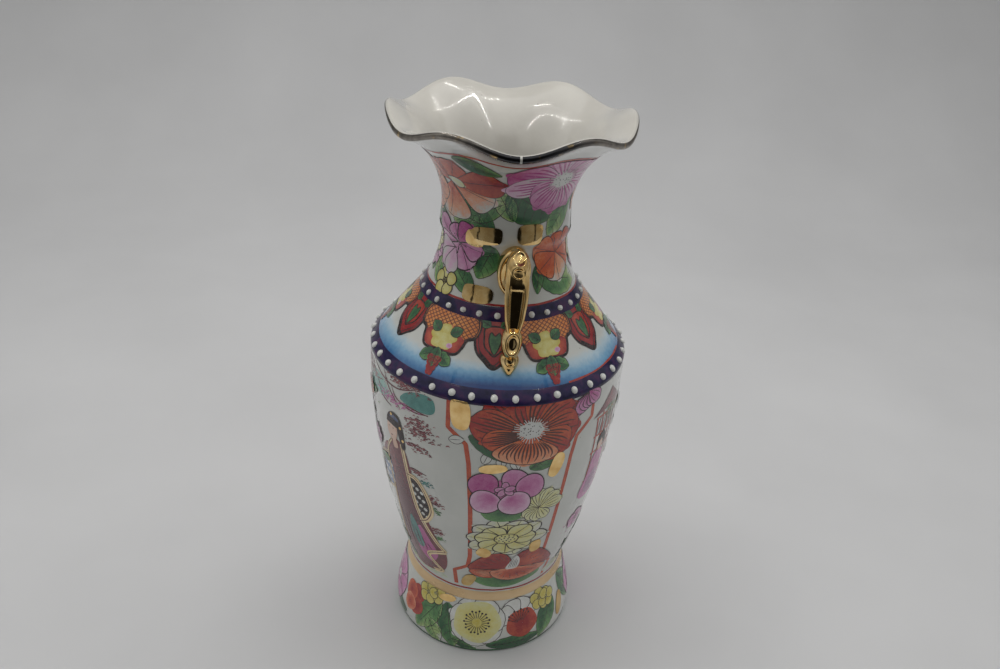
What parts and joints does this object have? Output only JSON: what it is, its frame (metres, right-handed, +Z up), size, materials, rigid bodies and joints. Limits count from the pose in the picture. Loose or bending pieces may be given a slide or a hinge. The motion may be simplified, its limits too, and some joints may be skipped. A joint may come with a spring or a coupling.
{
  "type": "porcelain vase",
  "caption": "Tall baluster porcelain vase with a ruffled flared mouth, two gilded handles, raised enamel beads and painted flower decoration.",
  "frame": {"origin": "centre of the foot ring's underside, on the surface that the vase stands on", "axes": "+Z up along the vase's axis; the two handles stand on -Y and +Y"},
  "size_m": [0.1137, 0.1136, 0.2542],
  "materials": {
    "glazed_porcelain": "glossy clear glaze over hand-tinted printed flowers",
    "gold": "bright liquid-gold gilding on glazed porcelain",
    "worn_gold": "thin rubbed gilding over the glaze",
    "matt_gold": "satin painted gold",
    "blue_enamel": "glossy cobalt-purple enamel",
    "white_enamel": "raised opaque white enamel"
  },
  "bodies": {
    "root": {"porcelain_body": "glazed_porcelain", "front_handle": "gold", "back_handle": "gold", "rim_gilding": "worn_gold", "foot_gold_band": "matt_gold", "shoulder_enamel_band": "blue_enamel", "neck_enamel_band": "blue_enamel", "shoulder_beads": "white_enamel", "neck_beads": "white_enamel"}
  },
  "joints": []
}
